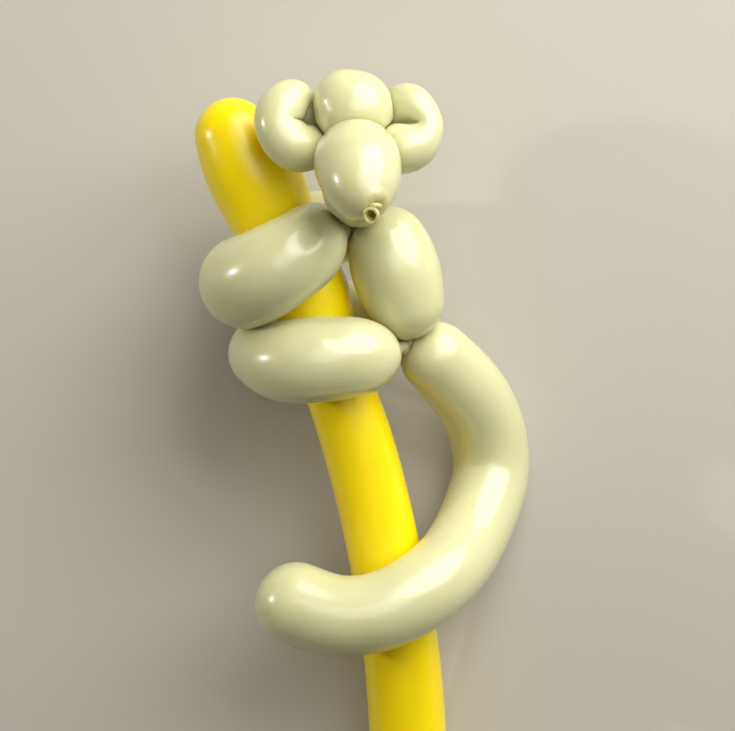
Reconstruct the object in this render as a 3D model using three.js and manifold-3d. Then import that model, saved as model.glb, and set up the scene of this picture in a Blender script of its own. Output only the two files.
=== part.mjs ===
// A monkey twisted from one cream modelling balloon, holding a yellow balloon pole.
// The pair lies on its back on a floor: millimetres, +Z up, +Y towards the head.
// The figure is drawn upright first: x to the viewer's right, y up, z towards the viewer.

import * as THREE from 'three';
import { mergeVertices } from 'three/addons/utils/BufferGeometryUtils.js';
import Module from 'manifold-3d';

const wasm = await Module();
wasm.setup();

// The height of the upright figure, from the tail's lowest point to the crown, and the steps of the
// grid over this height that the pose is drawn on
const figureHeight = 340;
const gridSteps = 340;
const step = figureHeight / gridSteps;

// Radii of the inflated bubbles
const crownRadius = 23.6;
const snoutRadius = 24.2;
const leftEarRadius = 14.5;
const rightEarRadius = 15.1;
const neckRadius = 22.3;
const armRadius = 25.8;
const bodyRadius = 26.4;
const legRadius = 25.3;
const tailRadius = 23.6;
const tailTipRadius = 25;

// Radii of the pole: its round top end, the squeezed stretch inside the limbs, and below them
const poleTopRadius = 27.3;
const poleGripRadius = 23.4;
const poleLowerRadius = 22.2;
const poleEndRadius = 23.9;

// Twists, knots and nozzles
const twistRadius = 5;
const knotRadius = 3.9;
const nozzleRadius = 5;
const nozzleBore = 3;
const nozzleLength = 9;
const nozzleDepth = 7.5;

// Fits: the air between the two balloons, and how far a contact patch is pressed flat
const clearance = 0.3;
const flatDepth = 1;

// Faces round a bubble, a small ball and a nozzle, and rings along a limb
const bubbleSides = 16;
const ballSides = 12;
const ballRings = 8;
const nozzleSides = 14;
const limbSteps = 11;
const earSteps = 12;

// How near a bubble's skin may come to the centre of a bend, as a share of the distance
const foldLimit = 0.85;

// Points closer than this are one corner
const weld = 1e-4;

// The steepest that a skin's radius may grow along its line, and the step that slopes are read over
const steepest = 0.95;
const slopeStep = 0.005;

// The search for the floor: the tail's balls on its outer bend, the first ball of the pole's lower
// end, the points tried along each supporting bubble, and rounds
const tailBend = [1, 8];
const poleEndFrom = 8;
const supportPoints = 80;
const supportRounds = 8;

const cream = new THREE.MeshStandardMaterial({ color: 0xe9e6bf, roughness: 0.28, metalness: 0 });
const yellow = new THREE.MeshStandardMaterial({ color: 0xf2c80a, roughness: 0.25, metalness: 0 });

const vector = ([x, y, z]) => new THREE.Vector3(x, y, z);
const onGrid = (place) => vector(place).multiplyScalar(step);

function toSolid(geometry) {
  const plain = geometry.clone();
  plain.deleteAttribute('normal');
  plain.deleteAttribute('uv');
  const merged = mergeVertices(plain, weld);
  return new wasm.Manifold(new wasm.Mesh({
    numProp: 3,
    vertProperties: new Float32Array(merged.attributes.position.array),
    triVerts: new Uint32Array(merged.index.array),
  }));
}

function toGeometry(solid) {
  const mesh = solid.getMesh();
  const geometry = new THREE.BufferGeometry();
  geometry.setAttribute('position', new THREE.BufferAttribute(mesh.vertProperties, 3));
  geometry.setIndex(new THREE.BufferAttribute(mesh.triVerts, 1));
  geometry.computeVertexNormals();
  return geometry;
}

const join = (solids) => solids.reduce((whole, solid) => whole.add(solid));

// A smooth line through the centres of a list of balls, each [centre, radius], read at a share of
// its length: the centre, the radius and how fast the radius grows along the line
function follow(balls) {
  const line = new THREE.CatmullRomCurve3(balls.map(([centre]) => centre), false, 'catmullrom');
  const radii = new THREE.CatmullRomCurve3(
    balls.map(([, radius], i) => new THREE.Vector3(i, radius, 0)), false, 'catmullrom');
  const read = (at) => ({ centre: line.getPoint(at), radius: radii.getPoint(at).y });
  const growth = (at) => {
    const before = read(Math.max(at - slopeStep, 0));
    const after = read(Math.min(at + slopeStep, 1));
    return (after.radius - before.radius) / after.centre.distanceTo(before.centre);
  };
  return { line, read, growth };
}

// How the line bends at a step: the direction of the bend's centre and the distance to it
function bend(line, tangents, place, steps) {
  const before = Math.max(place - 1, 0);
  const after = Math.min(place + 1, steps);
  const run = line.getPoint(before / steps).distanceTo(line.getPoint(after / steps));
  const turn = tangents[after].clone().sub(tangents[before]);
  return { inward: turn.clone().normalize(), distance: run / Math.max(turn.length(), 1e-6) };
}

// The skin of a bubble wraps a list of balls. Rings follow the line through the balls, and each
// ring leans so that it lies where the skin touches its ball: forwards where the balls shrink, and
// a quarter turn over at each end. On the inside of a tight bend the skin stops short of the
// bend's centre, so it folds there and never crosses itself.
function skin(balls, { steps = 10, capRings = 3, sides = bubbleSides, grow = 0 } = {}) {
  const { line, read, growth } = follow(balls);
  const lean = (at) => -Math.asin(THREE.MathUtils.clamp(growth(at), -steepest, steepest));
  const quarter = Math.PI / 2;
  const rings = [];
  for (let i = 0; i < capRings; i += 1) {
    rings.push({ place: 0, lean: THREE.MathUtils.lerp(-quarter, lean(0), i / capRings) });
  }
  for (let place = 0; place <= steps; place += 1) rings.push({ place, lean: lean(place / steps) });
  for (let i = 1; i <= capRings; i += 1) {
    rings.push({ place: steps, lean: THREE.MathUtils.lerp(lean(1), quarter, i / capRings) });
  }
  for (const ring of rings) ring.radius = read(ring.place / steps).radius + grow;

  const isTip = (i) => i === 0 || i === rings.length - 1;
  const profile = rings.map((ring, i) => (
    new THREE.Vector2(isTip(i) ? 0 : ring.radius * Math.cos(ring.lean), i)));
  const geometry = new THREE.LatheGeometry(profile, sides);
  const frames = line.computeFrenetFrames(steps, false);
  const bends = rings.map((ring) => bend(line, frames.tangents, ring.place, steps));
  const position = geometry.attributes.position;
  for (let i = 0; i < position.count; i += 1) {
    const index = Math.round(position.getY(i));
    const ring = rings[index];
    const offset = new THREE.Vector3()
      .addScaledVector(frames.binormals[ring.place], position.getX(i))
      .addScaledVector(frames.normals[ring.place], position.getZ(i));
    const { inward, distance } = bends[index];
    const past = offset.dot(inward) - foldLimit * distance;
    if (past > 0) offset.addScaledVector(inward, -past);
    const point = read(ring.place / steps).centre.add(offset)
      .addScaledVector(frames.tangents[ring.place], ring.radius * Math.sin(ring.lean));
    position.setXYZ(i, point.x, point.y, point.z);
  }
  return toSolid(geometry);
}

// The pole's axis, from its round top down past the grip to its knotted end
const armStation = [-48.3, 67.8, -5.6];
const legStation = [-27.5, 14, -16];
const poleBalls = [
  [[-80.5, 137, 8.2], 0.83 * poleTopRadius],
  [[-71, 119.3, 4.9], poleTopRadius],
  [[-59.2, 94.5, -0.2], 0.96 * poleTopRadius],
  [armStation, 1.02 * poleGripRadius],
  [[-37, 44.4, -10.2], 1.09 * poleGripRadius],
  [legStation, 0.92 * poleGripRadius],
  [[-12.2, -28.4, -23.3], 0.97 * poleLowerRadius],
  [[2, -77.6, -31.3], poleLowerRadius],
  [[12.6, -126.1, -39.1], 1.02 * poleLowerRadius],
  [[20.8, -176.4, -47.1], 0.98 * poleEndRadius],
  [[25, -226.7, -55], poleEndRadius],
  [[27, -270, -62], poleEndRadius],
  [[27.4, -311.1, -68.1], poleEndRadius],
].map(([centre, radius]) => [onGrid(centre), radius]);

// A limb wraps round the pole: its balls are placed from a station on the pole's axis, as shares
// of the distance at which limb and pole touch: [right, up, towards the viewer, radius share]
function wrap(station, limbRadius, shares) {
  const reach = poleGripRadius + limbRadius;
  return shares.map(([right, up, front, size]) => [
    onGrid(station).add(vector([right, up, front]).multiplyScalar(reach)), size * limbRadius,
  ]);
}

const neckTwistShare = [0.76, 0.26, 0.15, 0.16];
const frontArm = wrap(armStation, armRadius, [
  neckTwistShare,
  [0.36, 0.195, 0.56, 0.735],
  [0.215, -0.01, 0.875, 0.925],
  [0.022, -0.142, 0.98, 0.985],
  [-0.247, -0.291, 0.89, 1.045],
  [-0.475, -0.381, 0.64, 1.075],
]);
const backArm = wrap(armStation, armRadius, [
  neckTwistShare,
  [0.575, 0.32, -0.555, 0.83],
  [0.27, 0.34, -0.81, 0.90],
  [-0.03, 0.16, -0.94, 1.0],
  [-0.31, -0.08, -0.82, 0.98],
  [-0.52, -0.36, -0.46, 0.96],
]);
const hipTwistShare = [1.02, -0.03, 0.17, 0.16];
const frontLeg = wrap(legStation, legRadius, [
  hipTwistShare,
  [0.82, -0.11, 0.46, 0.27],
  [0.54, -0.17, 0.74, 0.82],
  [0.20, -0.20, 0.86, 0.98],
  [-0.18, -0.225, 0.85, 1.005],
  [-0.48, -0.23, 0.70, 0.945],
  [-0.70, -0.14, 0.47, 0.855],
]);
const backLeg = wrap(legStation, legRadius, [
  hipTwistShare,
  [0.75, 0.14, -0.43, 0.68],
  [0.45, 0.26, -0.79, 0.96],
  [0.06, 0.25, -0.91, 1.02],
  [-0.34, 0.11, -0.81, 0.98],
  [-0.68, -0.11, -0.44, 0.86],
]);
const neckTwist = frontArm[0][0];
const hipTwist = frontLeg[0][0];
const middle = (a, b) => a.clone().lerp(b, 0.5);
const handTwist = middle(frontArm[frontArm.length - 1][0], backArm[backArm.length - 1][0]);
const footTwist = middle(frontLeg[frontLeg.length - 1][0], backLeg[backLeg.length - 1][0]);

// The body hangs between the two twists, which lie on the skin of its end balls
const bodyTop = neckTwist.clone().addScaledVector(vector([0.92, -0.37, 0.08]), 0.96 * bodyRadius);
const bodyBottom = hipTwist.clone().addScaledVector(vector([0.02, 0.95, 0.3]), 1.03 * bodyRadius);
const body = [[0, 0.92], [0.3, 1], [0.62, 0.99], [1, 0.88]].map(([along, size]) => [
  bodyTop.clone().lerp(bodyBottom, along), size * bodyRadius,
]);

// The tail curls down and to the left, first towards the floor and then over the pole
const tail = [
  [[20, -8.7, -12], 0.9],
  [[35.4, -23.9, -25], 1],
  [[51.2, -51.2, -43], 1.02],
  [[54.7, -77.6, -47], 1.01],
  [[47.9, -101.8, -36], 1],
  [[36, -124, -17], 0.99],
  [[14.9, -144.1, 8], 1],
  [[-18.1, -159.9, 17], 1.01],
].map(([place, size]) => [hipTwist.clone().add(onGrid(place)), size * tailRadius]);
tail.push([hipTwist.clone().add(onGrid([-39, -161.8, 16])), 0.5 * (tailRadius + tailTipRadius)]);
tail.push([hipTwist.clone().add(onGrid([-64.5, -155.1, 12])), tailTipRadius]);

// The head: everything meets at one twist, above the neck bubble and nearer the viewer
const headTwist = neckTwist.clone().add(onGrid([0.3, 53, 46]));
const fromHead = (balls, radius) => balls.map(([place, size]) => [
  headTwist.clone().add(onGrid(place)), size * radius,
]);
const neck = [
  [neckTwist, twistRadius],
  [neckTwist.clone().add(onGrid([6.5, 15, 20])), 0.5 * neckRadius],
  [neckTwist.clone().add(onGrid([5, 20.3, 38.5])), 0.885 * neckRadius],
  [headTwist, twistRadius],
];
const crown = fromHead([[[-1.4, 18.6, 0], 0.83], [[2.9, 14.5, -2], 0.988]], crownRadius);
const snout = fromHead([
  [[5.4, -16.3, 11], 1],
  [[4.8, -18.3, 23], 1.025],
  [[6.5, -27.3, 36], 0.938],
  [[7.7, -34.9, 41.6], 0.75],
  [[10.5, -39, 46.3], 0.55],
], snoutRadius);

// Each ear is one bubble folded double, both ends at the head twist
const leftEar = fromHead([
  [[-9, -4, -14], 0.552],
  [[-19.6, -5.7, -8], 0.841],
  [[-30.4, -6.9, -2], 1],
  [[-38.1, -0.4, 0], 0.993],
  [[-41.3, 8.3, 0], 0.966],
  [[-37.8, 17.1, -2], 0.945],
  [[-31.5, 21.9, -7], 0.745],
  [[-26.4, 16.5, -15], 0.697],
  [[-18.5, 11, -21], 0.662],
], leftEarRadius);
const rightEar = fromHead([
  [[9, -5, -14], 0.53],
  [[19, -6.9, -8], 0.921],
  [[29, -7.9, -1], 1],
  [[37.4, -6.3, 0], 0.887],
  [[43.1, -1.1, 0], 0.709],
  [[45.5, 5, -0.5], 0.609],
  [[43.5, 11.5, -2], 0.623],
  [[38.4, 17, -4], 0.728],
  [[33.1, 18.7, -7.5], 0.828],
  [[26.5, 14.4, -13], 0.762],
  [[19, 10.5, -19], 0.649],
], rightEarRadius);

const ball = (centre, radius) => {
  const geometry = new THREE.SphereGeometry(radius, ballSides, ballRings);
  geometry.translate(centre.x, centre.y, centre.z);
  return toSolid(geometry);
};

// The knotted nozzle: a rolled rim round a short blind bore, pointing along the given direction
function nozzle(root, direction) {
  const roll = (nozzleRadius - nozzleBore) / 2;
  const profile = [
    [0, 0],
    [0.75 * nozzleRadius, 0.06 * nozzleLength],
    [0.62 * nozzleRadius, 0.33 * nozzleLength],
  ];
  for (const turn of [-0.3, 0.02, 0.35, 0.68, 1]) {
    const angle = turn * Math.PI;
    profile.push([
      nozzleBore + roll + roll * Math.cos(angle), nozzleLength - roll + roll * Math.sin(angle),
    ]);
  }
  profile.push([nozzleBore, nozzleLength - nozzleDepth], [0, nozzleLength - nozzleDepth]);
  const points = profile.map(([x, y]) => new THREE.Vector2(x, y));
  const geometry = new THREE.LatheGeometry(points, nozzleSides);
  geometry.applyQuaternion(
    new THREE.Quaternion().setFromUnitVectors(new THREE.Vector3(0, 1, 0), direction));
  geometry.translate(root.x, root.y, root.z);
  return join([ball(root, knotRadius), toSolid(geometry)]);
}

// A knot sits on the round tip of a skin's last ball
function tipOf(balls) {
  const [[before], [centre, radius]] = balls.slice(-2);
  const outward = centre.clone().sub(before).normalize();
  return { point: centre.clone().addScaledVector(outward, radius), outward };
}

const snoutKnot = tipOf(snout).point.add(onGrid([-1.2, 1.6, 0]));
const snoutNozzle = nozzle(snoutKnot, vector([-2.2, -5.4, 5.3]).normalize());
const poleTip = tipOf(poleBalls);
const poleKnot = poleTip.point.clone().addScaledVector(poleTip.outward, 0.5 * knotRadius);
const poleNozzle = nozzle(poleKnot, poleTip.outward);

const poleShape = { steps: 27, sides: 20 };
let pole = skin(poleBalls, poleShape).add(poleNozzle);
const poleRoom = skin(poleBalls, { ...poleShape, grow: clearance });
let monkey = join([
  skin(frontArm, { steps: limbSteps }),
  skin(backArm, { steps: limbSteps }),
  skin(frontLeg, { steps: limbSteps }),
  skin(backLeg, { steps: limbSteps }),
  skin(body, { steps: 6 }),
  skin(tail, { steps: 26 }),
  skin(neck, { steps: 6 }),
  skin(crown, { steps: 1, capRings: 4, sides: 18 }),
  skin(snout, { steps: 6, capRings: 4, sides: 18 }),
  skin(leftEar, { steps: earSteps }),
  skin(rightEar, { steps: earSteps }),
  ball(neckTwist, twistRadius),
  ball(hipTwist, twistRadius),
  ball(handTwist, twistRadius),
  ball(footTwist, twistRadius),
  ball(headTwist, twistRadius),
  snoutNozzle,
]).subtract(poleRoom);

// The pair rests on three bubbles: the back leg, the tail's outer bend and the pole's lower end.
// The floor is the plane that touches the lowest ball of each.
const supports = [backLeg, tail.slice(...tailBend), poleBalls.slice(poleEndFrom)].map((balls) => {
  const { read } = follow(balls);
  return Array.from({ length: supportPoints + 1 }, (_, i) => {
    const { centre, radius } = read(i / supportPoints);
    return [centre, radius];
  });
});

function floorNormal(balls) {
  const [[c0, r0], [c1, r1], [c2, r2]] = balls;
  const e1 = c1.clone().sub(c0);
  const e2 = c2.clone().sub(c0);
  const [m11, m12, m22] = [e1.dot(e1), e1.dot(e2), e2.dot(e2)];
  const [d1, d2] = [r1 - r0, r2 - r0];
  const det = m11 * m22 - m12 * m12;
  const flat = e1.clone().multiplyScalar((d1 * m22 - d2 * m12) / det)
    .addScaledVector(e2, (d2 * m11 - d1 * m12) / det);
  const across = e1.clone().cross(e2).normalize();
  const side = across.z < 0 ? -1 : 1;
  return flat.addScaledVector(across, side * Math.sqrt(1 - flat.lengthSq()));
}

let up = new THREE.Vector3(0, 0, 1);
let touching = [];
for (let round = 0; round < supportRounds; round += 1) {
  touching = supports.map((balls) => balls.reduce((low, next) => (
    up.dot(next[0]) - next[1] < up.dot(low[0]) - low[1] ? next : low)));
  up = floorNormal(touching);
}

const lay = new THREE.Quaternion().setFromUnitVectors(up, new THREE.Vector3(0, 0, 1));
const floorHeight = up.dot(touching[0][0]) - touching[0][1] + flatDepth;
const under = new THREE.BoxGeometry(4 * figureHeight, 4 * figureHeight, figureHeight);
under.translate(0, 0, floorHeight - figureHeight / 2);
under.applyQuaternion(lay.clone().invert());
const floor = toSolid(under);
monkey = monkey.subtract(floor);
pole = pole.subtract(floor);

// The origin is the middle of the pair's footprint, on the floor
const group = new THREE.Group();
group.quaternion.copy(lay);
for (const [name, solid, material] of [
  ['monkey_balloon', monkey, cream],
  ['pole_balloon', pole, yellow],
]) {
  const mesh = new THREE.Mesh(toGeometry(solid), material);
  mesh.name = name;
  group.add(mesh);
}
const box = new THREE.Box3().setFromObject(group, true);
group.position.set(-(box.min.x + box.max.x) / 2, -(box.min.y + box.max.y) / 2, -box.min.z);

export default group;
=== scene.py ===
import math

import bpy
import numpy as np
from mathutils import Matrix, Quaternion, Vector


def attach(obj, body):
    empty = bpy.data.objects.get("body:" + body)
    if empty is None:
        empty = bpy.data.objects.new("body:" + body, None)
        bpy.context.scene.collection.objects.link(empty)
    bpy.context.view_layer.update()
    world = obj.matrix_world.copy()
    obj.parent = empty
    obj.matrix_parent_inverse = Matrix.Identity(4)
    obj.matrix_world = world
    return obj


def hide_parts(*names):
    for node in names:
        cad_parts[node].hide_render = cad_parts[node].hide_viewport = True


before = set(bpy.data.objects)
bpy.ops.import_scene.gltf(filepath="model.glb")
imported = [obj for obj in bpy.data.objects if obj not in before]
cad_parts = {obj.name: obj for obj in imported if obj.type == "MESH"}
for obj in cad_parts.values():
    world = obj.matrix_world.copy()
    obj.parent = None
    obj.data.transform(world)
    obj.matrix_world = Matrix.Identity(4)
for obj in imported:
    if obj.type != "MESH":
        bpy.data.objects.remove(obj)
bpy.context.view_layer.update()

# A monkey twisted from one cream modelling balloon, its arms and legs looped round a yellow
# balloon pole. Both lie on their backs on a pale floor.
# The skins are worked out upright in millimetres: x to the viewer's right, y up, z towards the
# viewer. lie() then lays them down in the part's own frame, in metres.

# How the upright figure lies: its turn, and where its origin comes to be in millimetres
LYING = Quaternion((0.998689, -0.016035, 0.048615, 0.0))
ORIGIN = Vector((3.125, 87.528, 83.340))
TURN = np.array(LYING.to_matrix())
MM = 0.001

# The camera's distance from the upright picture and the width of what it sees there, in metres,
# and its sensor in millimetres
CAMERA_AWAY = 1.4
PICTURE_WIDTH = 0.441
SENSOR = 36

# The floor reaches this many metres each way
FLOOR_HALF = 4.0

# Radii of the inflated bubbles
CROWN = 23.6
SNOUT = 24.2
NECK = 22.3
ARM = 25.8
BODY = 26.4
LEG = 25.3
TAIL = 23.6
TAIL_TIP = 25.0
POLE_TOP = 27.3
POLE_GRIP = 23.4
POLE_LOWER = 22.2
POLE_END = 23.9

# Twists, knots and nozzles
TWIST = 5.0
KNOT = 3.9
NOZZLE = 5.0
NOZZLE_BORE = 3.0
NOZZLE_LENGTH = 9.0
NOZZLE_DEPTH = 7.5
NOZZLE_SIDES = 72
BORE_TAPER = 0.5

# The mesh: points that measure a line of balls, spacing of the rings along a skin, faces round it,
# and rings of a round end; then the same for a knot's strands, and the faces round a twist
LINE_POINTS = 1500
RING_SPACING = 1.3
SIDES = 96
CAP_RINGS = 16
STRAND_SPACING = 0.35
STRAND_SIDES = 40
STRAND_CAP_RINGS = 8
TWIST_SIDES = 60

# The steepest that a skin's radius may grow along its line
STEEPEST = 0.95

# How latex meets latex: the balls that stand for a bubble when another presses on it are this far
# apart, and no ball counts that is nearer than NEAREST to the line of the skin it would press
CORE_SPACING = 2.5
NEAREST = 6.0

# The air between two pressed skins, and the least that is left of a pressed skin's radius
PRESS_AIR = 0.12
THINNEST = 0.22

# The rounding of a contact's edge, its limit as a share of the radius, and how many times wider it
# is where a bubble is folded against itself, which starts this far along its own line
PRESS_EDGE = 2.2
EDGE_SHARE = 0.3
OWN_EDGE = 2.0
OWN_SKIP = 4.0

# The rounding where a bubble rests on the floor
FLOOR_EDGE = 0.8

# The dip of a skin round its knot: how deep, as a share of the end's radius, and how wide
DIP_DEPTH = 0.24
DIP_WIDTH = 5.0

# Pleats at a twist: how deep, how soon they die away, and their turn for each millimetre
PLEAT_DEPTH = 0.05
PLEAT_LENGTH = 4.0
PLEAT_SPIN = 0.05

# How soon the skin is fully stretched away from a twist, the distance that stands for no twist at
# all, and how stretched the small pieces are
# Low tautness also darkens the colour towards the thick one, which is partly painted shade at the twists,
# knots and nozzles
TAUT_LENGTH = 9.0
FAR_FROM_TWIST = 60.0
TWIST_TAUT = 0.2
KNOT_TAUT = 0.25
NOZZLE_TAUT = 0.3

# A direction that no twist or nozzle lies along
SLANT = (0.3, 0.9, 0.2)


def lie(points):
    """Lays upright millimetres down in the part's frame: the turn, then the shift, in metres."""
    return (points @ TURN.T + np.array(ORIGIN)) * MM


def unit(vectors):
    """Each row divided by its length."""
    return vectors / np.linalg.norm(vectors, axis=-1, keepdims=True)


def soften(a, b, width):
    """The smaller of a and b, with the corner where they cross rounded off over the width."""
    share = np.clip(0.5 + 0.5 * (b - a) / width, 0, 1)
    return b * (1 - share) + a * share - width * share * (1 - share)


def smooth_line(balls, at):
    """The natural cubic through the rows of balls, read at the lengths `at`: values and slopes.

    Between two rows the value is a cubic of the length, and its second slope has no jumps."""
    knots = np.concatenate([[0], np.cumsum(np.linalg.norm(np.diff(balls[:, :3], axis=0), axis=1))])
    gaps = np.diff(knots)
    rises = np.diff(balls, axis=0) / gaps[:, None]
    inner = np.arange(1, len(knots) - 1)
    system = np.eye(len(knots))
    system[inner, inner - 1] = gaps[:-1]
    system[inner, inner] = 2 * (gaps[:-1] + gaps[1:])
    system[inner, inner + 1] = gaps[1:]
    bends = np.zeros_like(balls)
    bends[inner] = 6 * np.diff(rises, axis=0)
    bends = np.linalg.solve(system, bends)
    at = at * knots[-1]
    span = np.clip(np.searchsorted(knots, at) - 1, 0, len(gaps) - 1)
    gap = gaps[span][:, None]
    before = (at - knots[span])[:, None]
    after = gap - before
    first, second = bends[span], bends[span + 1]
    start = balls[span] / gap - first * gap / 6
    end = balls[span + 1] / gap - second * gap / 6
    value = (first * after**3 + second * before**3) / (6 * gap) + start * after + end * before
    slope = (second * before**2 - first * after**2) / (2 * gap) + end - start
    return value, slope


def trace(balls, spacing):
    """The line of balls read evenly by length: centres, radii, headings, radius gained per
    millimetre, and the length so far."""
    fine = np.linspace(0, 1, LINE_POINTS)
    points = smooth_line(balls, fine)[0][:, :3]
    run = np.concatenate([[0], np.cumsum(np.linalg.norm(np.diff(points, axis=0), axis=1))])
    steps = max(int(round(run[-1] / spacing)), 2) + 1
    length = np.linspace(0, run[-1], steps)
    value, slope = smooth_line(balls, np.interp(length, run, fine))
    speed = np.linalg.norm(slope[:, :3], axis=1)
    return value[:, :3], value[:, 3], slope[:, :3] / speed[:, None], slope[:, 3] / speed, length


def rays(balls, spacing, sides, caps, aside):
    """The rays of a skin: one from the line of balls to each point of the skin round them.

    At each length the ring leans forwards or back so that the rays stand square on the skin that
    wraps the balls, and at both ends the lean goes on to a quarter turn, which makes a round end.
    Row 0 and the last row are the two tips."""
    centre, radius, ahead, growth, length = trace(balls, spacing)
    lean = -np.arcsin(np.clip(growth, -STEEPEST, STEEPEST))
    first = np.linspace(-math.pi / 2, lean[0], caps + 1)[:-1]
    last = np.linspace(lean[-1], math.pi / 2, caps + 1)[1:]
    rows = np.concatenate([np.zeros(caps, int), np.arange(len(length)), np.full(caps, len(length) - 1)])
    lean = np.concatenate([first, lean, last])
    centre, radius, ahead = centre[rows], radius[rows], ahead[rows]
    aside = np.array(aside, float)
    aside = unit(aside - (ahead @ aside)[:, None] * ahead)
    across = np.cross(ahead, aside)
    angle = np.arange(sides) * 2 * math.pi / sides
    turn = angle[None, :, None]
    around = np.cos(turn) * aside[:, None] + np.sin(turn) * across[:, None]
    ray = np.sin(lean)[:, None, None] * ahead[:, None] + np.cos(lean)[:, None, None] * around
    edge = centre + radius[:, None] * ray[:, 0]
    walk = np.concatenate([[0], np.cumsum(np.linalg.norm(np.diff(edge, axis=0), axis=1))])
    return {"centre": centre, "radius": radius, "ray": ray, "angle": angle, "walk": walk,
            "length": length[rows]}


def limit(centre, ray, radius, cores, core_radii, skip=None):
    """How far each ray may go before it is as near to another ball's skin as to its own.

    With d from the ray's start to the ball's centre, k the ball's radius less the ray's own and n
    the ray, that is t = (d.d - k.k) / (2 (k + n.d)), and the nearest ball decides."""
    gap = cores[None] - centre[:, None]
    more = core_radii[None] - radius[:, None]
    squared = (gap**2).sum(-1)
    facing = np.einsum("rmk,rsk->rsm", gap, ray)
    bottom = 2 * (more[:, None] + facing)
    counts = (squared > NEAREST**2) if skip is None else ~skip
    counts = counts[:, None] & (bottom > 1e-3)
    far = np.where(counts, (squared - more**2)[:, None] / np.where(counts, bottom, 1), 1e6)
    return np.maximum(far.min(-1), 0)


def pleats(walk, angle, folds):
    """Folds that run into a twist: narrow valleys round the tip, deepest there, dying away along
    the skin, each a raised cosine cubed. A second set, with four folds fewer, makes them uneven."""
    turn = angle[None] + PLEAT_SPIN * walk[:, None]
    main = (0.5 + 0.5 * np.cos(folds * turn)) ** 3
    odd = (0.5 + 0.5 * np.cos((folds - 4) * turn + 1.7)) ** 3
    return PLEAT_DEPTH * np.exp(-walk / PLEAT_LENGTH)[:, None] * (0.7 * main + 0.45 * odd)


def wrap(station, limb, shares):
    """Balls round the pole: each row of shares is right, up and towards the viewer from a station
    on the pole's line, as shares of the distance at which limb and pole touch, and the radius."""
    shares = np.array(shares)
    reach = POLE_GRIP + limb
    return np.column_stack([station + shares[:, :3] * reach, shares[:, 3] * limb])


def place(start, rows, radius):
    """Balls at offsets from a start point, with their radii as shares of one radius."""
    rows = np.array(rows)
    return np.column_stack([start + rows[:, :3], rows[:, 3] * radius])


# The pole's line, from its round top down past the grip to its knotted end
ARM_STATION = np.array([-48.3, 67.8, -5.6])
LEG_STATION = np.array([-27.5, 14, -16])
POLE_BALLS = np.array([
    [-80.5, 137, 8.2, 0.83 * POLE_TOP],
    [-71, 119.3, 4.9, POLE_TOP],
    [-59.2, 94.5, -0.2, 0.96 * POLE_TOP],
    [*ARM_STATION, 1.02 * POLE_GRIP],
    [-37, 44.4, -10.2, 1.09 * POLE_GRIP],
    [*LEG_STATION, 0.92 * POLE_GRIP],
    [-12.2, -28.4, -23.3, 0.97 * POLE_LOWER],
    [2, -77.6, -31.3, POLE_LOWER],
    [12.6, -126.1, -39.1, 1.02 * POLE_LOWER],
    [20.8, -176.4, -47.1, 0.98 * POLE_END],
    [25, -226.7, -55, POLE_END],
    [27, -270, -62, POLE_END],
    [27.4, -311.1, -68.1, POLE_END],
])

# Each limb goes round the pole from a twist it shares with its twin
NECK_TWIST_SHARE = [0.76, 0.26, 0.15, 0.16]
HIP_TWIST_SHARE = [1.02, -0.03, 0.17, 0.16]
FRONT_ARM = wrap(ARM_STATION, ARM, [
    NECK_TWIST_SHARE,
    [0.36, 0.195, 0.56, 0.735],
    [0.215, -0.01, 0.875, 0.925],
    [0.022, -0.142, 0.98, 0.985],
    [-0.247, -0.291, 0.89, 1.045],
    [-0.475, -0.381, 0.64, 1.075],
])
BACK_ARM = wrap(ARM_STATION, ARM, [
    NECK_TWIST_SHARE,
    [0.575, 0.32, -0.555, 0.83],
    [0.27, 0.34, -0.81, 0.90],
    [-0.03, 0.16, -0.94, 1.0],
    [-0.31, -0.08, -0.82, 0.98],
    [-0.52, -0.36, -0.46, 0.96],
])
FRONT_LEG = wrap(LEG_STATION, LEG, [
    HIP_TWIST_SHARE,
    [0.82, -0.11, 0.46, 0.27],
    [0.54, -0.17, 0.74, 0.82],
    [0.20, -0.20, 0.86, 0.98],
    [-0.18, -0.225, 0.85, 1.005],
    [-0.48, -0.23, 0.70, 0.945],
    [-0.70, -0.14, 0.47, 0.855],
])
BACK_LEG = wrap(LEG_STATION, LEG, [
    HIP_TWIST_SHARE,
    [0.75, 0.14, -0.43, 0.68],
    [0.45, 0.26, -0.79, 0.96],
    [0.06, 0.25, -0.91, 1.02],
    [-0.34, 0.11, -0.81, 0.98],
    [-0.68, -0.11, -0.44, 0.86],
])
NECK_TWIST = FRONT_ARM[0, :3]
HIP_TWIST = FRONT_LEG[0, :3]
HEAD_TWIST = NECK_TWIST + np.array([0.3, 53, 46])
HAND_TWIST = (FRONT_ARM[-1, :3] + BACK_ARM[-1, :3]) / 2
FOOT_TWIST = (FRONT_LEG[-1, :3] + BACK_LEG[-1, :3]) / 2

# The body hangs between the two twists, which lie on the skin of its end balls
BODY_TOP = NECK_TWIST + np.array([0.92, -0.37, 0.08]) * 0.96 * BODY
BODY_BOTTOM = HIP_TWIST + np.array([0.02, 0.95, 0.3]) * 1.03 * BODY
BODY_BALLS = place(BODY_TOP, [
    [*(along * (BODY_BOTTOM - BODY_TOP)), size]
    for along, size in ((0, 0.92), (0.3, 1), (0.62, 0.99), (1, 0.88))
], BODY)

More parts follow.
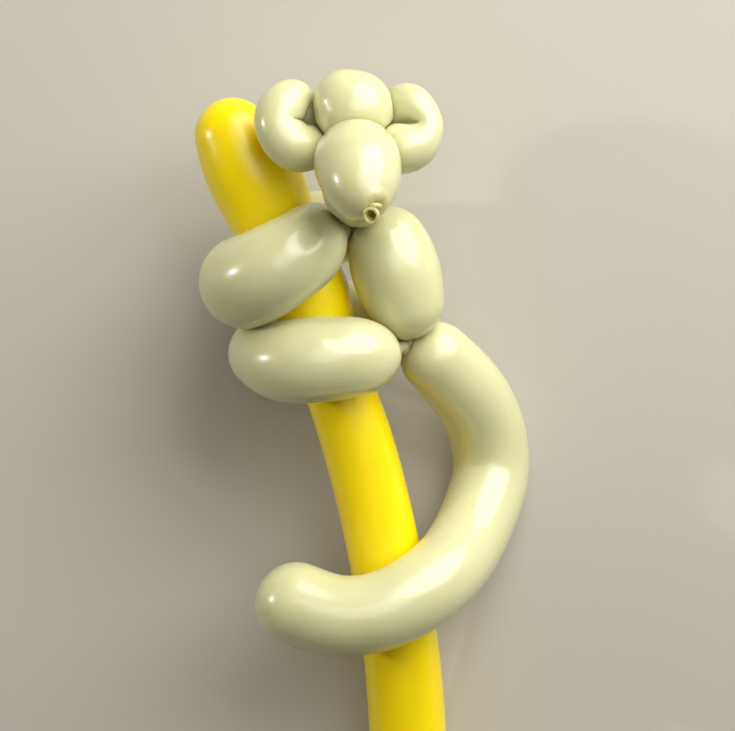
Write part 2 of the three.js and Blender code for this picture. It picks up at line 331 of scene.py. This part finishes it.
# The tail goes out to the right and down towards the floor, then to the left over the pole
TAIL_BALLS = np.vstack([
    place(HIP_TWIST, [
        [19.8, -7.9, -12, 0.94],
        [35.4, -23.9, -25, 1],
        [51.2, -51.2, -43, 1.02],
        [54.7, -77.6, -47, 1.01],
        [47.9, -101.8, -36, 1],
        [36, -124, -17, 0.99],
        [14.9, -144.1, 8, 1],
        [-18.1, -159.9, 17, 1.01],
    ], TAIL),
    place(HIP_TWIST, [[-39, -161.8, 16, 1]], (TAIL + TAIL_TIP) / 2),
    place(HIP_TWIST, [[-64.5, -155.1, 12, 1]], TAIL_TIP),
])

# The head: everything meets at one twist, above the neck bubble and nearer the viewer
NECK_BALLS = np.vstack([
    [[*NECK_TWIST, TWIST]],
    place(NECK_TWIST, [[6.5, 15, 20, 0.5], [5, 20.3, 38.5, 0.885]], NECK),
    [[*HEAD_TWIST, TWIST]],
])
CROWN_BALLS = place(HEAD_TWIST, [[-1.4, 18.6, 0, 0.83], [2.9, 14.5, -2, 0.988]], CROWN)
SNOUT_BALLS = place(HEAD_TWIST, [
    [5.4, -16.3, 11, 1.0],
    [4.8, -18.3, 23, 1.025],
    [6.5, -27.3, 36, 0.938],
    [7.7, -34.9, 41.6, 0.75],
    [10.5, -39, 46.3, 0.55],
], SNOUT)

# Each knot is on the round tip of a skin's last ball: the snout's a little to the left and up, and
# the pole's half its own radius out
SNOUT_WAY = unit(SNOUT_BALLS[-1, :3] - SNOUT_BALLS[-2, :3])
SNOUT_KNOT = SNOUT_BALLS[-1, :3] + SNOUT_BALLS[-1, 3] * SNOUT_WAY + np.array([-1.2, 1.6, 0])
POLE_WAY = unit(POLE_BALLS[-1, :3] - POLE_BALLS[-2, :3])
POLE_KNOT = POLE_BALLS[-1, :3] + (POLE_END + 0.5 * KNOT) * POLE_WAY

# Each ear is one bubble folded double, its two ends at the head twist; its radii are written in
# millimetres
LEFT_EAR = place(HEAD_TWIST, [
    [-9, -4, -14, 8],
    [-19.6, -5.7, -8, 12.2],
    [-30.4, -6.9, -2, 14.5],
    [-38.1, -0.4, 0, 14.4],
    [-41.3, 8.3, 0, 14],
    [-37.8, 17.1, -2, 13.7],
    [-31.5, 21.9, -7, 10.8],
    [-26.4, 16.5, -15, 10.1],
    [-18.5, 11, -21, 9.6],
], 1)
RIGHT_EAR = place(HEAD_TWIST, [
    [9, -5, -14, 8],
    [19, -6.9, -8, 13.9],
    [29, -7.9, -1, 15.1],
    [37.4, -6.3, 0, 13.4],
    [43.1, -1.1, 0, 10.7],
    [45.5, 5, -0.5, 9.2],
    [43.5, 11.5, -2, 9.4],
    [38.4, 17, -4, 11],
    [33.1, 18.7, -7.5, 12.5],
    [26.5, 14.4, -13, 11.5],
    [19, 10.5, -19, 9.8],
], 1)

# Each bubble: its balls, a direction that never lies along them, the folds at its two ends
BUBBLES = {
    "crown_bubble": (CROWN_BALLS, (1, 0, 0), 0, 0),
    "snout_bubble": (SNOUT_BALLS, (1, 0, 0), 0, 9),
    "left_ear_bubble": (LEFT_EAR, (0, 0, 1), 9, 8),
    "right_ear_bubble": (RIGHT_EAR, (0, 0, 1), 9, 8),
    "neck_bubble": (NECK_BALLS, (1, 0, 0), 9, 9),
    "front_arm_bubble": (FRONT_ARM, (-0.4, 1, 0), 11, 9),
    "back_arm_bubble": (BACK_ARM, (-0.4, 1, 0), 11, 9),
    "body_bubble": (BODY_BALLS, (1, 0, 0), 9, 9),
    "front_leg_bubble": (FRONT_LEG, (-0.2, 1, 0), 11, 9),
    "back_leg_bubble": (BACK_LEG, (-0.2, 1, 0), 11, 9),
    "tail_bubble": (TAIL_BALLS, (0, 0, 1), 0, 0),
    "pole_skin": (POLE_BALLS, (0, 0, 1), 0, 0),
}
KNOTTED = ("snout_bubble", "pole_skin")
CORES = {name: trace(balls, CORE_SPACING) for name, (balls, *_) in BUBBLES.items()}


def press(name, grid):
    """How far each ray of a skin goes: to its own radius, or less where another bubble, or the
    bubble's own far side round a tight bend, presses against it."""
    centre, radius, ray = grid["centre"], grid["radius"], grid["ray"]
    out = np.repeat(radius[:, None], SIDES, axis=1)
    edge = np.minimum(PRESS_EDGE, EDGE_SHARE * radius)[:, None]
    for other, (cores, core_radii, _, _, length) in CORES.items():
        if other == name:
            skip = np.abs(length[None] - grid["length"][:, None]) < OWN_SKIP
            reach = limit(centre, ray, radius, cores, core_radii, skip)
            out = soften(out, reach - PRESS_AIR, OWN_EDGE * edge)
        else:
            reach = limit(centre, ray, radius, cores, core_radii)
            out = soften(out, reach - PRESS_AIR, edge)
    return np.maximum(out, THINNEST * radius[:, None])


def tautness(walk, start_folds, end_folds):
    """How stretched the skin is: 0 at a twist, and 1 - e^(-s / TAUT_LENGTH) at s from the nearest
    one. A bubble with no twist that shows is stretched all over."""
    twists = [run for run, folds in ((walk, start_folds), (walk[-1] - walk, end_folds)) if folds]
    nearest = np.min(twists, axis=0) if twists else np.full_like(walk, FAR_FROM_TWIST)
    return 1 - np.exp(-nearest / TAUT_LENGTH)


def skin(name):
    """A bubble's skin: its rays, pressed, pleated where it runs into a twist and dipped round a
    knot. Gives the points, each one's place on the unrolled skin, and how taut it is there."""
    balls, aside, start_folds, end_folds = BUBBLES[name]
    grid = rays(balls, RING_SPACING, SIDES, CAP_RINGS, aside)
    walk, angle = grid["walk"], grid["angle"]
    to_end = walk[-1] - walk
    out = press(name, grid)
    folds = np.zeros_like(out)
    if start_folds:
        folds += pleats(walk, angle, start_folds)
    if end_folds:
        folds += pleats(to_end, angle, end_folds)
    out *= 1 - folds
    if name in KNOTTED:
        out *= 1 - DIP_DEPTH * np.exp(-((to_end / DIP_WIDTH) ** 2))[:, None]
    points = grid["centre"][:, None] + out[..., None] * grid["ray"]
    fullest = balls[:, 3].max()
    place_on_skin = np.stack([
        np.broadcast_to(walk[:, None], out.shape),
        np.broadcast_to(fullest * np.cos(angle), out.shape),
        np.broadcast_to(fullest * np.sin(angle), out.shape),
    ], axis=-1)
    taut = tautness(walk, start_folds, end_folds)
    return points, place_on_skin, np.repeat(taut[:, None], SIDES, axis=1)


def faces_of(rows, sides):
    """Quads between neighbouring rings, and a fan of triangles to each tip: the first point of the
    list is the first tip, and the last point the last tip."""
    ring = np.arange(rows)[:, None] * sides
    here = np.arange(sides)
    after = (here + 1) % sides
    low = 1 + ring[:-1] + here
    quads = np.stack([low, 1 + ring[:-1] + after, 1 + ring[1:] + after, 1 + ring[1:] + here], axis=-1)
    tip = 1 + rows * sides
    first = np.stack([np.zeros(sides, int), 1 + after, 1 + here], axis=-1)
    top = 1 + (rows - 1) * sides
    last = np.stack([np.full(sides, tip), top + here, top + after], axis=-1)
    return quads.reshape(-1, 4).tolist() + first.tolist() + last.tolist()


def close(grid):
    """A grid's rows as one list, with its first and last rows drawn together to one point each."""
    width = grid.shape[-1]
    return np.vstack([grid[0].mean(0)[None], grid[1:-1].reshape(-1, width), grid[-1].mean(0)[None]])


def volume_sign(points, faces):
    """The sign of the space that the faces close in, from a fan of tetrahedra at the origin."""
    quads = np.array([f for f in faces if len(f) == 4])
    a, b, c, d = (points[quads[:, k]] for k in range(4))
    return np.sign(np.einsum("ij,ij->", a, np.cross(b, c)) + np.einsum("ij,ij->", a, np.cross(c, d)))


def make_piece(name, grid, latex_kind, extras):
    """One closed mesh from a grid of upright points, laid down, rested on the floor and smoothed.

    The extras are values for each point that the latex reads."""
    material, node, slot = latex_kind
    points = close(grid)
    lying = lie(points)
    lying[:, 2] = -soften(-lying[:, 2], 0, FLOOR_EDGE * MM)
    faces = faces_of(grid.shape[0] - 2, grid.shape[1])
    if volume_sign(points - points.mean(0), faces) < 0:
        faces = [face[::-1] for face in faces]
    mesh = bpy.data.meshes.new(name)
    mesh.from_pydata(lying.tolist(), [], faces)
    for key, values in extras.items():
        values = close(values if values.ndim == 3 else values[..., None])
        if values.shape[1] == 3:
            layer = mesh.attributes.new(key, "FLOAT_VECTOR", "POINT")
            layer.data.foreach_set("vector", values.astype(np.float32).ravel())
        else:
            layer = mesh.attributes.new(key, "FLOAT", "POINT")
            layer.data.foreach_set("value", values.astype(np.float32).ravel())
    mesh.polygons.foreach_set("use_smooth", np.ones(len(mesh.polygons), bool))
    mesh.materials.append(material)
    mesh.update()
    piece = bpy.data.objects.new(name, mesh)
    bpy.context.scene.collection.objects.link(piece)
    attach(piece, "root")
    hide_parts(node)


def add(tree, kind, settings=None, **inputs):
    """A node with its settings, and with numbers, colours or other nodes' sockets in its inputs."""
    node = tree.nodes.new(kind)
    for key, value in (settings or {}).items():
        setattr(node, key, value)
    for key, value in inputs.items():
        socket = node.inputs[int(key[1:])] if key[1:].isdigit() else node.inputs[key.replace("_", " ")]
        if isinstance(value, bpy.types.NodeSocket):
            tree.links.new(value, socket)
        else:
            socket.default_value = value
    return node


def math_node(tree, operation, first, second=0.0, third=0.0):
    """One step of arithmetic on values that change over the surface."""
    return add(tree, "ShaderNodeMath", {"operation": operation}, _0=first, _1=second, _2=third).outputs[0]


def latex_group():
    """Marks of stretched latex: broad patches of thicker and thinner skin, faint streaks drawn out
    along the balloon, and the dusting of powder that a new balloon has."""
    tree = bpy.data.node_groups.new("Latex marks", "ShaderNodeTree")
    tree.interface.new_socket(name="Place", in_out="INPUT", socket_type="NodeSocketVector")
    for name in ("Patches", "Streaks", "Powder"):
        tree.interface.new_socket(name=name, in_out="OUTPUT", socket_type="NodeSocketFloat")
    inside = tree.nodes.new("NodeGroupInput")
    outside = tree.nodes.new("NodeGroupOutput")
    spot = inside.outputs["Place"]
    patches = add(tree, "ShaderNodeTexNoise", Vector=spot, Scale=0.045, Detail=2.0, Roughness=0.45)
    drawn = add(tree, "ShaderNodeMapping", Vector=spot, Scale=(0.12, 1.0, 1.0))
    streaks = add(tree, "ShaderNodeTexNoise", Vector=drawn.outputs[0], Scale=0.5, Detail=3.0,
                  Roughness=0.55)
    powder = add(tree, "ShaderNodeTexNoise", Vector=spot, Scale=3.2, Detail=2.0, Roughness=0.6)
    for name, node in (("Patches", patches), ("Streaks", streaks), ("Powder", powder)):
        tree.links.new(node.outputs[0], outside.inputs[name])
    return tree


def latex(name, marks, full, thick, rough, glow, coat):
    """Blown-up latex: paler where it is stretched thin, deeper and duller at the wrung ends, where the
    deeper colour is partly painted shade, with painted shade darkening the inside of a nozzle's bore,
    glossy, with light that travels a way under the skin.

    The colour goes from thick to full with the tautness, shifted by the patches and the streaks. The thick
    colour is the deeper colour of unstretched latex and also painted shade in the creases where the skin
    runs into a twist."""
    material = bpy.data.materials.new(name)
    material.use_nodes = True
    tree = material.node_tree
    shader = tree.nodes["Principled BSDF"]
    spot = add(tree, "ShaderNodeAttribute", {"attribute_name": "skin_place"})
    taut = add(tree, "ShaderNodeAttribute", {"attribute_name": "taut"})
    worked = add(tree, "ShaderNodeGroup", {"node_tree": marks}, Place=spot.outputs["Vector"])
    patches, streaks, powder = (worked.outputs[key] for key in ("Patches", "Streaks", "Powder"))
    spread = math_node(tree, "MULTIPLY_ADD", patches, 0.5, -0.25)
    # From the thick colour to the full one: the thick end is unstretched latex's deeper colour and also
    # painted shade in the creases at the twists, knots and nozzles.
    thin = math_node(tree, "ADD", taut.outputs["Fac"], spread)
    thin = math_node(tree, "MULTIPLY_ADD", streaks, 0.12, math_node(tree, "SUBTRACT", thin, 0.06))
    colour = add(tree, "ShaderNodeMix", {"data_type": "RGBA", "clamp_factor": True},
                 Factor=thin, _6=(*thick, 1), _7=(*full, 1))
    # Painted shade in a nozzle's bore: the inside value blends the colour to nearly black down the bore.
    inside = add(tree, "ShaderNodeAttribute", {"attribute_name": "inside"})
    dark = [0.05 * part for part in thick]
    shaded = add(tree, "ShaderNodeMix", {"data_type": "RGBA", "clamp_factor": True},
                 Factor=inside.outputs["Fac"], _6=colour.outputs[2], _7=(*dark, 1))
    tree.links.new(shaded.outputs[2], shader.inputs["Base Color"])
    dull = math_node(tree, "MULTIPLY_ADD", powder, 0.1, rough - 0.05)
    slack = math_node(tree, "MULTIPLY", math_node(tree, "SUBTRACT", 1.0, taut.outputs["Fac"]), 0.12)
    tree.links.new(math_node(tree, "ADD", dull, slack), shader.inputs["Roughness"])
    height = math_node(tree, "ADD", math_node(tree, "MULTIPLY", streaks, 0.6), powder)
    bump = add(tree, "ShaderNodeBump", Strength=0.035, Distance=0.0006, Height=height)
    tree.links.new(bump.outputs[0], shader.inputs["Normal"])
    shader.inputs["IOR"].default_value = 1.52
    shader.inputs["Subsurface Weight"].default_value = 0.6
    shader.inputs["Subsurface Radius"].default_value = glow
    shader.inputs["Subsurface Scale"].default_value = 0.012
    shader.inputs["Coat Weight"].default_value = coat
    shader.inputs["Coat Roughness"].default_value = 0.12
    return material


def turned(foot, way, profile, sides, end_way=None):
    """A shape turned on an axis: profile rows are distance from the axis and height along it.

    Where end_way is given, the axis bends evenly from one heading to the other: at the height h of
    a shape h1 high it has gone h way + h^2 (end_way - way) / (2 h1) from the foot."""
    profile = np.array(profile)
    height = profile[:, 1, None]
    way = unit(np.array(way, float))[None]
    end_way = way if end_way is None else unit(np.array(end_way, float))
    bend = (end_way - way) / height.max()
    heading = unit(way + height * bend)
    aside = unit(np.cross(heading, SLANT))
    across = np.cross(heading, aside)
    angle = (np.arange(sides) * 2 * math.pi / sides)[None, :, None]
    around = np.cos(angle) * aside[:, None] + np.sin(angle) * across[:, None]
    axis = foot + height * way + height**2 * bend / 2
    return axis[:, None] + profile[:, 0, None, None] * around


def nozzle_profile():
    """The nozzle's outline: a neck that flares to a rolled lip, over the lip and down the bore.

    The neck's radius grows with the height to the power 1.6, and the lip is an arc of the roll."""
    roll = (NOZZLE - NOZZLE_BORE) / 2
    slim = 0.62 * KNOT
    deepest = NOZZLE_LENGTH - NOZZLE_DEPTH
    rise = np.linspace(0, 1, 24)[:, None]
    neck = np.hstack([slim + (0.8 * NOZZLE - slim) * rise**1.6, rise * (NOZZLE_LENGTH - 2.4 * roll)])
    turn = np.linspace(-0.42, 1.0, 22)[:, None] * math.pi
    lip = np.hstack([NOZZLE_BORE + roll + roll * np.cos(turn), NOZZLE_LENGTH - roll + roll * np.sin(turn)])
    sink = np.linspace(0, 1, 12)[1:, None]
    bore = np.hstack([NOZZLE_BORE - BORE_TAPER * sink, NOZZLE_LENGTH - roll - sink * (NOZZLE_DEPTH - roll)])
    inner = np.linspace(1, 0, 6)[1:, None]
    bottom = np.hstack([(NOZZLE_BORE - BORE_TAPER) * inner, np.full_like(inner, deepest)])
    foot = np.array([[0, 0.0], [KNOT * 0.3, 0.0]])
    return np.vstack([foot, neck, lip, bore, bottom])


def nozzle(foot, way, end_way):
    """The nozzle on its knot, with the small ripples that rolled latex has round its lip, and how
    deep in the bore each row is, from 0 at the lip to 1: a mask that paints shade down the bore."""
    profile = nozzle_profile()
    grid = turned(foot, way, profile, NOZZLE_SIDES, end_way)
    middle = grid.mean(1, keepdims=True)
    angle = np.arange(NOZZLE_SIDES) * 2 * math.pi / NOZZLE_SIDES
    ripple = 1 + 0.03 * np.cos(3 * angle + 0.6) + 0.02 * np.cos(7 * angle)
    past_lip = np.arange(len(profile)) > np.argmax(profile[:, 1])
    # Painted shade mask: 0 at the lip, rising to 1 down the bore.
    bore_shade = np.clip((NOZZLE_LENGTH - 0.5 - profile[:, 1]) / 3, 0, 1) * past_lip
    rippled = middle + (grid - middle) * ripple[None, :, None]
    return rippled, np.repeat(bore_shade[:, None], NOZZLE_SIDES, axis=1)


def plain_extras(grid, taut):
    """Skin places and tautness for a small piece: its own points, and one value all over."""
    return {"skin_place": grid, "taut": np.full(grid.shape[:2], taut)}


def strand(balls, aside):
    """A thin strand of latex: the skin round a line of small balls."""
    grid = rays(balls, STRAND_SPACING, STRAND_SIDES, STRAND_CAP_RINGS, aside)
    return grid["centre"][:, None] + grid["radius"][:, None, None] * grid["ray"]


def knot_balls(foot, way):
    """The knot's loop: nearly one and a half turns of thick strand round the nozzle's neck, widest
    and thickest half way."""
    way = unit(np.array(way, float))
    aside = unit(np.cross(way, SLANT))
    across = np.cross(way, aside)
    turn = np.linspace(0, 1, 15)[:, None]
    angle = turn * 1.45 * 2 * math.pi
    out = KNOT * (0.45 + 0.25 * np.sin(turn * math.pi))
    line = foot + out * (np.cos(angle) * aside + np.sin(angle) * across) + (turn * 4.2 - 2.2) * way
    size = 0.33 * KNOT * (0.75 + 0.4 * np.sin(turn * math.pi))
    return np.hstack([line, size])


def wrung(centre, way):
    """A twist: a short neck of latex wrung into a spiral of five ridges, thinner in the middle."""
    way = unit(np.array(way, float))
    height = np.linspace(-1, 1, 40)
    radius = TWIST * np.sqrt(np.clip(1 - height**2, 0, 1)) * (1 - 0.25 * np.exp(-(height * 3) ** 2))
    profile = np.column_stack([radius, height * 1.3 * TWIST])
    grid = turned(centre, way, profile, TWIST_SIDES)
    middle = grid.mean(1, keepdims=True)
    angle = np.arange(TWIST_SIDES) * 2 * math.pi / TWIST_SIDES
    ridge = 1 + 0.1 * np.cos(5 * angle[None] + 3.5 * height[:, None])
    return middle + (grid - middle) * ridge[..., None]


def lamp(name, way, distance, size, energy, colour):
    """A round soft lamp, placed from the figure's middle along an upright direction."""
    light = bpy.data.lights.new(name, "AREA")
    light.shape = "DISK"
    light.size = size
    light.energy = energy
    light.color = colour
    thing = bpy.data.objects.new(name, light)
    middle = Vector(lie(np.zeros(3)))
    thing.location = middle + (LYING @ Vector(way)).normalized() * distance
    thing.rotation_mode = "QUATERNION"
    thing.rotation_quaternion = (middle - thing.location).to_track_quat("-Z", "Y")
    bpy.context.scene.collection.objects.link(thing)


def make_camera():
    """A camera square above the upright picture, at the distance the photograph was taken from."""
    camera = bpy.data.objects.new("camera", bpy.data.cameras.new("camera"))
    camera.data.sensor_width = SENSOR
    camera.data.lens = SENSOR * CAMERA_AWAY / PICTURE_WIDTH
    camera.data.clip_start = 0.05
    camera.data.clip_end = 50
    camera.location = Vector(lie(np.zeros(3))) + LYING @ Vector((0, 0, CAMERA_AWAY))
    camera.rotation_mode = "QUATERNION"
    camera.rotation_quaternion = LYING
    bpy.context.scene.collection.objects.link(camera)
    bpy.context.scene.camera = camera


def make_floor():
    """A pale, plain, flat floor."""
    mesh = bpy.data.meshes.new("floor")
    corners = [(FLOOR_HALF * x, FLOOR_HALF * y, 0) for x, y in ((-1, -1), (1, -1), (1, 1), (-1, 1))]
    mesh.from_pydata(corners, [], [(0, 1, 2, 3)])
    material = bpy.data.materials.new("floor paper")
    material.use_nodes = True
    shader = material.node_tree.nodes["Principled BSDF"]
    shader.inputs["Base Color"].default_value = (0.50, 0.48, 0.42, 1)
    shader.inputs["Roughness"].default_value = 0.9
    shader.inputs["Specular IOR Level"].default_value = 0.15
    mesh.materials.append(material)
    floor = bpy.data.objects.new("floor", mesh)
    bpy.context.scene.collection.objects.link(floor)


def make_world():
    """Weak, warm, even light from all round."""
    world = bpy.data.worlds.new("studio")
    world.use_nodes = True
    background = world.node_tree.nodes["Background"]
    background.inputs["Color"].default_value = (1.0, 0.93, 0.72, 1)
    background.inputs["Strength"].default_value = 0.09
    bpy.context.scene.world = world
    bpy.context.scene.view_settings.view_transform = "Standard"


make_camera()
make_floor()
make_world()

# Each lamp's upright direction, its distance and size in metres, its power in watts and its colour
lamp("key", (0.50, 0.64, 0.58), 1.5, 1.8, 42, (1.0, 0.99, 0.97))
lamp("spark", (-0.95, 0.12, 0.27), 1.6, 0.07, 7.0, (1.0, 0.96, 0.88))
lamp("overhead", (0.1, 0.2, 1.0), 2.0, 1.4, 10, (1.0, 1.0, 1.0))

marks = latex_group()
# The thick colours are the deeper latex at the wrung ends and also painted shade there.
CREAM = (
    latex("cream latex", marks, full=(0.64, 0.635, 0.36), thick=(0.44, 0.40, 0.13), rough=0.29,
          glow=(1.0, 0.88, 0.3), coat=0.6),
    "monkey_balloon", "cream_latex",
)
YELLOW = (
    latex("yellow latex", marks, full=(1.0, 0.74, 0.001), thick=(0.88, 0.42, 0.001), rough=0.30,
          glow=(1.0, 0.42, 0.02), coat=0.06),
    "pole_balloon", "yellow_latex",
)

for name in BUBBLES:
    points, place_on_skin, taut = skin(name)
    kind = YELLOW if name == "pole_skin" else CREAM
    make_piece(name, points, kind, {"skin_place": place_on_skin, "taut": taut})

# Where the bubbles are wrung off from each other, and the way each twist points
for name, spot, way in (
    ("neck_twist", NECK_TWIST, (0.3, 1, 0.4)),
    ("hip_twist", HIP_TWIST, (0.3, 1, 0.2)),
    ("head_twist", HEAD_TWIST, (0, 1, 0.6)),
    ("hand_twist", HAND_TWIST, (0, 0, 1)),
    ("foot_twist", FOOT_TWIST, (0, 0, 1)),
):
    grid = wrung(spot, way)
    make_piece(name, grid, CREAM, plain_extras(grid, TWIST_TAUT))

# The knots and their nozzles: the way each nozzle leaves its knot, and the way its mouth faces
for prefix, foot, way, end_way, kind in (
    ("snout", SNOUT_KNOT, (-1.2, -9.5, 3), (-4.2, -2.5, 8.7), CREAM),
    ("pole", POLE_KNOT, POLE_WAY, POLE_WAY, YELLOW),
):
    grid, inside = nozzle(foot, way, end_way)
    # Each nozzle carries its painted shade mask for the bore as its inside value.
    make_piece(f"{prefix}_nozzle", grid, kind, plain_extras(grid, NOZZLE_TAUT) | {"inside": inside})
    grid = strand(knot_balls(foot, way), way)
    make_piece(f"{prefix}_knot", grid, kind, plain_extras(grid, KNOT_TAUT))

bpy.context.view_layer.update()
